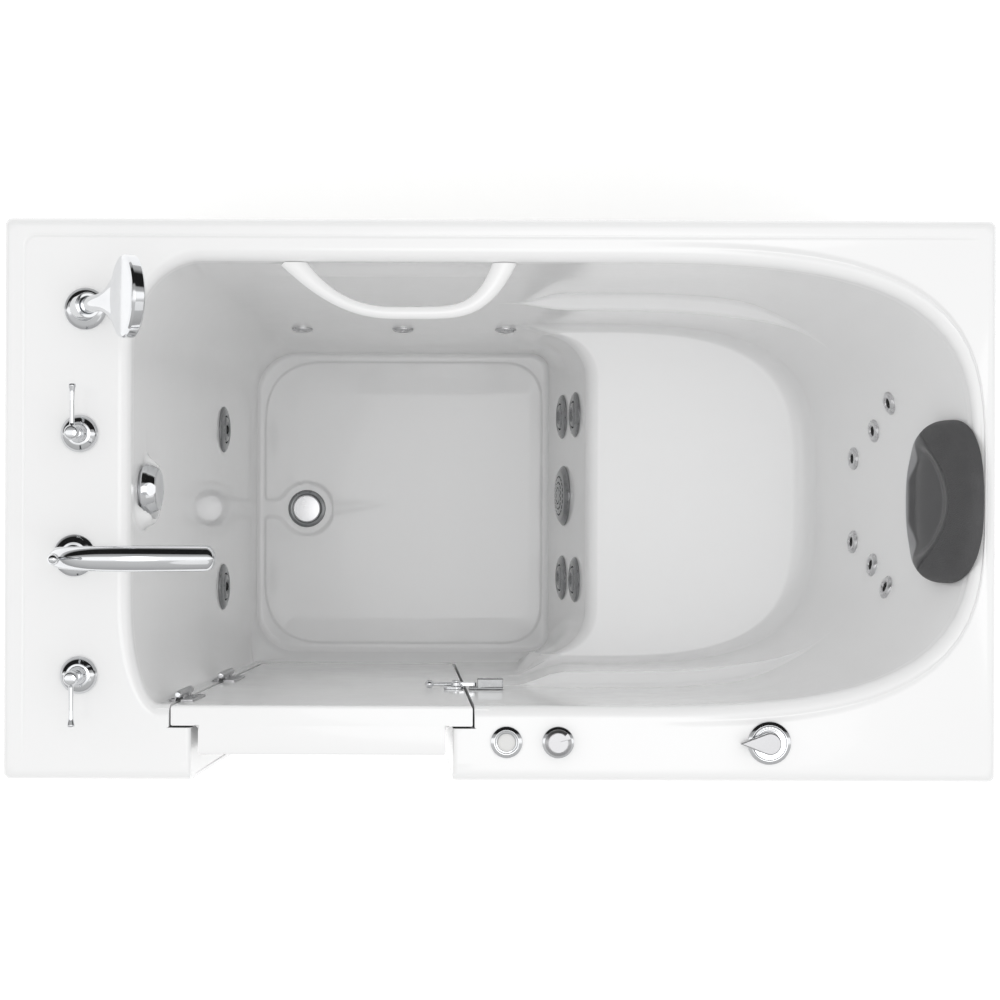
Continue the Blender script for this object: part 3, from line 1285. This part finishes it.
# The keeper's plate, the block on it and the block's raised face
keep_left, keep_l = door_right_at(latch_z) + 5, 50
keep_right, block_left = keep_left + keep_l, keep_left + 12.3
keeper = (upright_plate(keep_left, keep_right, 8, 11, latch_back, latch_back + bracket_t)
          + upright_plate(block_left, keep_right, 9, 9, latch_back + 2, rim_front + 16)
          + upright_plate(block_left + 8, keep_right - 9, 7.5, 7.5, rim_front + 14, rim_front + 16.6).of(1))
piece("latch_catch_made", mesh_of("latch_catch_made", keeper), [plated, rubbed_chrome], "tub",
      ["latch_catch"], bevel=1.0)

# ---------------------------------------------------------------------------
# Skirt: a front apron with the doorway's notch and two end panels, thin
# acrylic sheet with eased edges, screwed to the uprights so they come off.
panel_t, panel_low, panel_top = 5, 12, deck_z - lip_h - gap
apron_end = half_l - panel_t - gap
notch_grow, notch_z = outer_gap - leaf_step, outer_low - 5
notch_edge = [(door_left_at(panel_top) - notch_grow, panel_top)]
notch_edge += quarter(door_left_at(notch_z) - (outer_gap / 2 - leaf_step) + door_r, notch_z + door_r,
                      door_r, door_r, 180)
notch_edge += quarter(door_right_at(notch_z) + notch_grow - door_r, notch_z + door_r, door_r, door_r, 270)
notch_edge += [(door_right_at(panel_top) + notch_grow, panel_top)]
apron_outline = [(-apron_end, panel_low), (apron_end, panel_low), (apron_end, panel_top)]
apron_outline += notch_edge[::-1] + [(-apron_end, panel_top)]
screw_z = (60, 500, 940)
post_x, post_y = half_l - sheet_t - gap - 12.5, half_w - sheet_t - gap - 12.5
front_screws = [moved(x, -half_w, z) for x in (-post_x, 250, post_x) for z in screw_z]
left_screws, right_screws = ([moved(side * half_l, y, z) @ turned("Z", 90 * side) for y in (-post_y, post_y)
                              for z in screw_z] for side in (-1, 1))
seat_cut = lathe([(0, -0.5), (5.8, -0.5), (5.8, 2), (2.2, 2.2), (2.2, 12), (0, 12)], 24).at(turned("X", -90))


def screwed_panel(node, sheet, places):
    """A panel with a seat cut for each of its screws."""
    seats = Form()
    for place in places:
        seats += seat_cut.at(place)
    stand_in(node, cut(node + "_made", sheet, acrylic, seats), acrylic, "tub", bevel=1.2)


apron = across(lambda y: apron_outline, [-half_w, -half_w + panel_t])
screwed_panel("front_apron", apron, front_screws)
for side, name, places in ((-1, "left_end_panel", left_screws), (1, "right_end_panel", right_screws)):
    x0, x1 = sorted((side * half_l, side * (half_l - panel_t)))
    sheet = prism([(x0, -half_w), (x1, -half_w), (x1, half_w), (x0, half_w)], panel_low, panel_top)
    screwed_panel(name, sheet, places)

# ---------------------------------------------------------------------------
# Panel screws: stainless steel, pan-headed with a cross recess. 21 of them
# go through the apron and the end panels into the uprights.
thread = [p for i in range(11) for p in ((2, 16 - i * 1.2), (1.6, 15.4 - i * 1.2))]
screw = lathe([(0, 19), (1.4, 17)] + thread + [(2, 1.8), (5.5, 1.8, 0.2), (5.3, 0.9, 0.5), (3.6, 0.1, 1),
                                               (0, 0)], 20)
arm_l, arm_w = 2.6, 0.5
cross = prism([(-arm_l, -arm_w), (-arm_w, -arm_w), (-arm_w, -arm_l), (arm_w, -arm_l), (arm_w, -arm_w),
               (arm_l, -arm_w), (arm_l, arm_w), (arm_w, arm_w), (arm_w, arm_l), (-arm_w, arm_l),
               (-arm_w, arm_w),
               (-arm_l, arm_w)], -1, 1.3)
shape = cut("screw", screw.at(turned("X", -90)), steel, cross.at(turned("X", -90)))
screw_form = Form([v.co / MM for v in shape.vertices], [tuple(p.vertices) for p in shape.polygons])
repeated("panel_screws", screw_form, front_screws + left_screws + right_screws, steel)

# ---------------------------------------------------------------------------
# Pump, blower, control box and board under the seat: a self-draining pump
# with a finned motor, an air blower and the box that the controls wire into.
board_top = frame_top + gap + 6


def black_plastic():
    """Glass-filled black plastic with a faint flow pattern."""
    black = Finish("black_plastic", IOR=1.5)
    flow = black.noise(18, 4, (1, 1, 3))
    black.varies(Base_Color=black.between(flow, (0.018, 0.018, 0.019, 1), (0.035, 0.035, 0.036, 1)),
                 Roughness=0.35 + flow * 0.2)
    black.bump(black.noise(1500, 1), 0.15, 0.0001)
    return black.material


def pressure_pipe():
    """White extruded pipe: faint lines along it and a low gloss."""
    pipe = Finish("white_pipe", IOR=1.5)
    cloud = pipe.noise(20, 3)
    pipe.varies(Base_Color=pipe.between(cloud, (0.68, 0.68, 0.66, 1), (0.76, 0.76, 0.74, 1)),
                Roughness=0.25 + cloud * 0.15)
    return pipe.material


black, pipe_white = black_plastic(), pressure_pipe()
lies = turned("Y", 90)
pump_x, pump_y, pump_z = riser_at(seat_z) + 160, -60, board_top + 85
motor_r, motor_l, wet_r, wet_l, pipe_r = 75, 190, 68, 66, 24
casting = lathe([(0, 0), (60, 0, 2), (73, 3, 3), (73, 15, 2), (66, 17, 1), (66, 148, 1), (73, 150, 2),
                 (73, 152), (72, 186, 6), (66, 190, 2),
                 (0, 190)], 72)
fin = prism([(64, -1.3), (motor_r - 1, -0.8), (motor_r - 1, 0.8), (64, 1.3)], 16, 150)
for i in range(36):
    casting += fin.at(turned("Z", 10 * i))
base = prism([(34, -50), (150, -50), (150, 50), (34, 50)], board_top - pump_z + 0.3, board_top - pump_z + 8)
for x in (50, 130):
    base += prism([(x - 8, -42), (x + 8, -42), (x + 8, 42), (x - 8, 42)], board_top - pump_z + 6,
                  22 - motor_r)
at_pump = moved(pump_x, pump_y, pump_z)
stand_in("pump_motor", (casting.at(lies) + base).at(at_pump), steel, "tub", bevel=0.5)
volute = lathe([(0, -wet_l), (24, -wet_l, 2), (40, -wet_l + 2, 6), (58, -50, 8), (62, -30, 4), (62, -22, 1),
                (68, -21, 1), (68, -8, 1), (60, -7, 1),
                (60, -gap), (0, -gap)], 72).at(lies)
inlet = lathe([(0, 0), (26, 0, 1), (26, 8, 1), (24.4, 9), (24.4, 13, 1), (26, 14, 1), (26, 30, 1), (0, 30)],
              48)
bolt = lathe([(0, -6.5), (4.6, -6.5), (4.6, -2.5, 0.6), (0, -2)], 6)
for i in range(8):
    volute += bolt.at(lies @ turned("Z", 45 * i + 22.5) @ moved(63, 0, 0))
volute += inlet.at(moved(-wet_l - 14, 0, 0) @ lies)
volute += inlet.at(moved(-wet_l / 2 - gap, 0, wet_r + 12 - 30))
volute += lathe([(0, 0), (28, 0), (28, 44, 3), (0, 44)], 48).at(moved(-wet_l / 2 - gap, 0, 10))
stand_in("pump_wet_end", volute.at(at_pump), black, "tub")
blower_x, blower_y, blower_top = half_l - 113, 95, board_top + 150
shell = [(0, 0.3), (70, 0.3, 1.5), (72, 6, 1)]
for i in range(9):
    shell += [(72, 12 + 8 * i, 0.5), (69.5, 13 + 8 * i, 0.4), (69.5, 16 + 8 * i, 0.4), (72, 17 + 8 * i, 0.5)]
shell += [(72, 90, 3), (50, 127, 6), (22, 130, 2), (19, 133, 1), (19, 150), (0, 150)]
blower = lathe(shell, 72).at(moved(blower_x, blower_y, board_top))
stand_in("air_blower", blower, black, "tub")
box_x, box_y = pump_x + motor_l + 25, -172


def rounded(x0, y0, x1, y1, r):
    """The outline of a rectangle with round corners."""
    corners = ((x1 - r, y1 - r), (x0 + r, y1 - r), (x0 + r, y0 + r), (x1 - r, y0 + r))
    return [p for i, (x, y) in enumerate(corners) for p in quarter(x, y, r, r, 90 * i, 6)]


case = (prism(rounded(2, 2, 105, 130, 8), 0.3, 118) + prism(rounded(0, 0, 107, 132, 9), 119, 148)
        + prism(rounded(14, 14, 93, 118, 5), 148, 150))
for z in range(36, 106, 10):
    case += prism(rounded(0.2, 20, 3, 112, 1), z, z + 4)
for x, y in ((8, 8), (99, 8), (8, 124), (99, 124)):
    case += lathe([(0, 148), (3.4, 148), (3.4, 149.6, 0.5), (0, 149.8)], 24).at(moved(x, y, 0))
stand_in("control_box", case.at(moved(box_x, box_y, board_top)), white, "tub", bevel=0.6)
dress(black, "equipment_board")

# ---------------------------------------------------------------------------
# Pipework: rigid white pipe with glued elbows from the suction cover to the
# pump, from the pump round the jets, and from the blower to the small jets.


def pipe_tree():
    """Rounds a path's corners and draws a pipe along it."""
    tree = tree_of("pipe", [("Radius", "Float"), ("Bend", "Float"), ("Finish", "Material")])
    start, end, path, corner, draw, ring, real, finish = nodes_of(
        tree, "NodeGroupInput", "NodeGroupOutput", "GeometryNodeMeshToCurve", "GeometryNodeFilletCurve",
        "GeometryNodeCurveToMesh", "GeometryNodeCurvePrimitiveCircle", "GeometryNodeRealizeInstances",
        "GeometryNodeSetMaterial")
    corner.mode = "POLY"
    corner.inputs["Count"].default_value = 9
    corner.inputs["Limit Radius"].default_value = True
    draw.inputs["Fill Caps"].default_value = True
    ring.inputs["Resolution"].default_value = 36
    wire(tree, (start, "Geometry", path, "Mesh"), (path, "Curve", corner, "Curve"),
         (start, "Bend", corner, "Radius"), (start, "Radius", ring, "Radius"),
         (corner, "Curve", draw, "Curve"), (ring, "Curve", draw, "Profile Curve"),
         (draw, "Mesh", real, "Geometry"), (real, "Geometry", finish, "Geometry"),
         (start, "Finish", finish, "Material"), (finish, "Geometry", end, "Geometry"))
    return tree


pipe = pipe_tree()


def pipework(node, runs):
    """A piece with a pipe along every run of points, and a socket either side of each bend."""
    meshes = []
    for points, radius in runs:
        path = bpy.data.meshes.new("path")
        path.from_pydata([Vector(p) * MM for p in points], [(i, i + 1) for i in range(len(points) - 1)], [])
        carrier = bpy.data.objects.new("path", path)
        meshes.append(grow(carrier, pipe, Radius=radius * MM, Bend=1.5 * radius * MM, Finish=pipe_white))
        socket = lathe([(radius - 1, 0), (radius + 1.5, 0, 0.5), (radius + 1.5, 0.8 * radius, 0.5),
                        (radius - 1, 0.8 * radius)], 36)
        sockets = Form()
        for before, corner, after in zip(points, points[1:], points[2:]):
            for other in (before, after):
                way = Vector(other) - Vector(corner)
                if way.length > 4 * radius:
                    turn = way.to_track_quat("Z", "Y").to_matrix().to_4x4()
                    sockets += socket.at(moved(*(Vector(corner) + way.normalized() * 1.3 * radius)) @ turn)
        if sockets.faces:
            meshes.append(mesh_of("sockets", sockets))
    stand_in(node, joined(node + "_made", meshes), pipe_white, "tub")


# How far behind the wall's face each fitting's pipe starts or runs
intake_back, jet_back, rest_back, well_back = 28.3, 59.6, 46.9, 44.9
lean = math.radians(riser_lean)
out_of_riser, up_riser = Vector((math.cos(lean), 0, -math.sin(lean))), Vector((math.sin(lean), 0,
                                                                               math.cos(lean)))
intake = Vector((riser_at(250), 7.5, 250)) + intake_back * out_of_riser
inlet_x = pump_x - wet_l - 14
pipework("suction_pipe", [([intake, intake + 2 * pipe_r * out_of_riser, (inlet_x - 30, pump_y, pump_z),
                            (inlet_x - gap, pump_y, pump_z)], pipe_r)])
run_r, left_tilt = 19, math.radians(left_lean)
riser_run = Vector((riser_at(338), 0, 338)) + jet_back * out_of_riser - 29 * up_riser
left_run = Vector((left_at(400), 0, 400)) - jet_back * Vector((math.cos(left_tilt), 0, math.sin(left_tilt)))
run_y, outlet_x = half_w - 75, pump_x - wet_l / 2 - gap
pipework("water_manifold",
         [([(outlet_x, pump_y, pump_z + wet_r + 12 + gap), (outlet_x, pump_y, riser_run.z),
            riser_run + Vector((0, pump_y, 0)), riser_run + Vector((0, run_y, 0)), (-420, run_y, riser_run.z),
            left_run + Vector((0, run_y, 0)), left_run + Vector((0, -141, 0))], run_r),
          ([riser_run + Vector((0, pump_y, 0)), riser_run + Vector((0, -130, 0))], run_r)])
behind = [place @ Vector((0, 0, -rest_back)) for place in rest_places]
tilt = math.radians(back_lean)
air_back = Vector((0, back_at(400), 400)) + well_back * Vector((0, math.cos(tilt), -math.sin(tilt)))
pipework("air_manifold",
         [(behind, 16),
          ([(blower_x, blower_y, blower_top + gap), (blower_x, blower_y, 420), (behind[2] + behind[3]) / 2],
           15),
          ([(blower_x, blower_y, 300), (blower_x, air_back.y, 300),
            (480, air_back.y, 400 - well_back * math.sin(tilt)), air_back + Vector((-337, 0, 0))], 14)])
dress(pipe_white, "overflow_pipe")
dress(white, "jet_bodies")

# ---------------------------------------------------------------------------
# Head pillow: a moulded foam pad with a skin of its own, dished and smooth
# where the head rests and pebbled round it. It lies against the backrest.
pillow_w, pillow_l, pillow_t = 226, 205, 42
pillow_up = Vector((rim_right - seat_end, 0, wall_top - seat_z)).normalized()
pillow_out = Vector((-pillow_up.z, 0, pillow_up.x))
pillow_foot, pillow_mid = deck_z - 170, 98


def grey_skin(name, low, high, rough, grain_depth):
    """Dark grey integral skin, paler where the mesh says lip, with its part of the mould's leather grain."""
    foam = Finish(name, IOR=1.5)
    grain = foam.node("ShaderNodeTexVoronoi", {"feature": "DISTANCE_TO_EDGE"},
                      {"Vector": foam.place, "Scale": 420}, "Distance")
    cloud, lip = foam.noise(25, 3), foam.node("ShaderNodeAttribute", {"attribute_name": "lip"}, {}, "Fac")
    grey = foam.between(cloud, (low, low, low * 1.03, 1), (high, high, high * 1.03, 1))
    foam.varies(Base_Color=foam.between(lip, grey, (0.30, 0.30, 0.31, 1)), Roughness=rough + cloud * 0.12)
    foam.bump(grain.maths("MINIMUM", grain * 3, 1.0), grain_depth, 0.0006)
    return foam.material


pebbled = grey_skin("pebbled_grey", 0.060, 0.092, 0.48, 0.55)
smooth_skin = grey_skin("smooth_grey", 0.070, 0.095, 0.27, 0.06)


def seam_above(u, v):
    """How far above the seam a spot of the pillow lies, in mm."""
    return v - (150 - 55 * (u / 74) ** 2)


def pillow_point(ring, angle):
    c, s = math.cos(angle), math.sin(angle)
    u = ring * pillow_w / 2 * math.copysign(abs(c) ** 0.78, c)
    v = pillow_mid + ring * (98 if s < 0 else 103) * math.copysign(abs(s) ** 0.78, s)
    plump = max(0.0, 1 - ring ** 5) ** 0.42 * mix(pillow_t - 1, 27, smooth(v / pillow_l))
    above = seam_above(u, v)
    dish = (13 * smooth((1 - ring) / 0.35) * smooth((v - 6) / 26) * smooth(-above / 38)
            * smooth((88 - abs(u)) / 34))
    groove = 1.8 * math.exp(-(above / 2.6) ** 2) * smooth((1 - ring) / 0.1)
    height = plump - dish - groove
    z = pillow_foot + v * pillow_up.z
    over_wall = pillow_up * max(0.0, (z - wall_top) / pillow_up.z)
    return backrest_point(u, min(wall_top, z)) + over_wall + pillow_out * (1.6 + height), u, v


rows, around = 64, 192
front_points, above, lips, pad_faces = [], [], [], []
for k in range(rows):
    ring = 1 - (k / rows) ** 1.5
    for j in range(around):
        spot, u, v = pillow_point(ring, 2 * math.pi * j / around)
        front_points.append(spot)
        above.append(seam_above(u, v) > 0 or ring > 0.985)
        lips.append(smooth((24 + 26 * smooth((abs(u) - 25) / 50) - v) / 6) * smooth(-seam_above(u, v) / 6))
front_points += [pillow_point(0, 0)[0], pillow_point(0, 0)[0] - pillow_out * (pillow_t - 14)]
for k in range(rows - 1):
    for j in range(around):
        a, b = k * around + j, k * around + (j + 1) % around
        pad_faces.append((a, b, b + around, a + around))
top = (rows - 1) * around
for j in range(around):
    pad_faces += [(top + j, top + (j + 1) % around, rows * around), ((j + 1) % around, j, rows * around + 1)]
pad_finishes = [0 if any(above[i] for i in face if i < len(above)) else 1 for face in pad_faces]
pad = mesh_of("pillow_made", Form(front_points, pad_faces, pad_finishes))
pad.attributes.new("lip", "FLOAT", "POINT").data.foreach_set("value", lips + [0.0, 0.0])
pillow = piece("pillow_made", pad, [pebbled, smooth_skin], "tub", ["pillow"])

# ---------------------------------------------------------------------------
# Studio: a pale floor, a soft light overhead, a weak one at the side, and a
# pale room round them that is brighter towards its ceiling.


def pale_floor():
    """A white floor that gives off a little light of its own, so that it hardly darkens round the tub."""
    floor = Finish("studio_floor", Base_Color=(0.9, 0.9, 0.9, 1), Roughness=0.6,
                   Emission_Color=(1, 1, 1, 1), Emission_Strength=0.35)
    return floor.material


ground = bpy.data.meshes.new("studio_floor")
ground.from_pydata([(-9, -9, 0), (9, -9, 0), (9, 9, 0), (-9, 9, 0)], [], [(0, 1, 2, 3)])
ground.materials.append(pale_floor())
studio_floor = bpy.data.objects.new("studio_floor", ground)
scene.collection.objects.link(studio_floor)
studio_floor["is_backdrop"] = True
surround = bpy.data.worlds.new("surround")
scene.world = surround
surround.use_nodes = True
sky, links = surround.node_tree.nodes, surround.node_tree.links
direction, parts, ray = (sky.new(kind) for kind in
                         ("ShaderNodeTexCoord", "ShaderNodeSeparateXYZ", "ShaderNodeLightPath"))
links.new(direction.outputs["Generated"], parts.inputs[0])
# The ceiling of the room is brighter than its walls
rise, even = sky.new("ShaderNodeMapRange"), sky.new("ShaderNodeCombineColor")
for key, value in zip(("From Min", "From Max", "To Min", "To Max"), (0.0, 0.9, 0.66, 1.0)):
    rise.inputs[key].default_value = value
links.new(parts.outputs["Z"], rise.inputs["Value"])
for channel in ("Red", "Green", "Blue"):
    links.new(rise.outputs["Result"], even.inputs[channel])
# What bright metal mirrors: a strip light along the ceiling and a dark screen behind the tub
roll, turns, cards = sky.new("ShaderNodeMath"), sky.new("ShaderNodeMapRange"), sky.new("ShaderNodeValToRGB")
roll.operation = "ARCTAN2"
links.new(parts.outputs["Y"], roll.inputs[0])
links.new(parts.outputs["Z"], roll.inputs[1])
turns.inputs["From Min"].default_value, turns.inputs["From Max"].default_value = -math.pi, math.pi
links.new(roll.outputs[0], turns.inputs["Value"])
links.new(turns.outputs["Result"], cards.inputs["Fac"])
shades = ((0.0, 0.70), (0.25, 0.42), (0.34, 0.55), (0.45, 0.68), (0.475, 1.25), (0.525, 1.25), (0.54, 0.50),
          (0.575, 0.40),
          (0.585, 0.012), (0.70, 0.012), (0.735, 0.45), (1.0, 0.70))
for i, (place, shade) in enumerate(shades):
    stop = cards.color_ramp.elements[0] if i == 0 else cards.color_ramp.elements.new(place)
    stop.position, stop.color = place, (shade, shade, shade, 1)
cards.color_ramp.elements.remove(cards.color_ramp.elements[len(shades)])
pick = sky.new("ShaderNodeMix")
pick.data_type = "RGBA"
links.new(ray.outputs["Is Glossy Ray"], pick.inputs[0])
links.new(even.outputs[0], pick.inputs[6])
links.new(cards.outputs["Color"], pick.inputs[7])
links.new(pick.outputs[2], sky["Background"].inputs["Color"])


def soft_light(name, place, target, size, power):
    lamp = bpy.data.lights.new(name, "AREA")
    lamp.shape, lamp.size, lamp.energy = "DISK", size, power
    holder = bpy.data.objects.new(name, lamp)
    holder.location = place
    holder.rotation_euler = (Vector(target) - Vector(place)).to_track_quat("-Z", "Y").to_euler()
    scene.collection.objects.link(holder)


soft_light("side_light", (1.5, -1.3, 3.2), (0.5, -0.2, 0.9), 1.4, 1.6)
soft_light("overhead_light", (0.3, -0.1, 4.9), (0.0, 0.0, 0.5), 1.8, 10)

low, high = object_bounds()
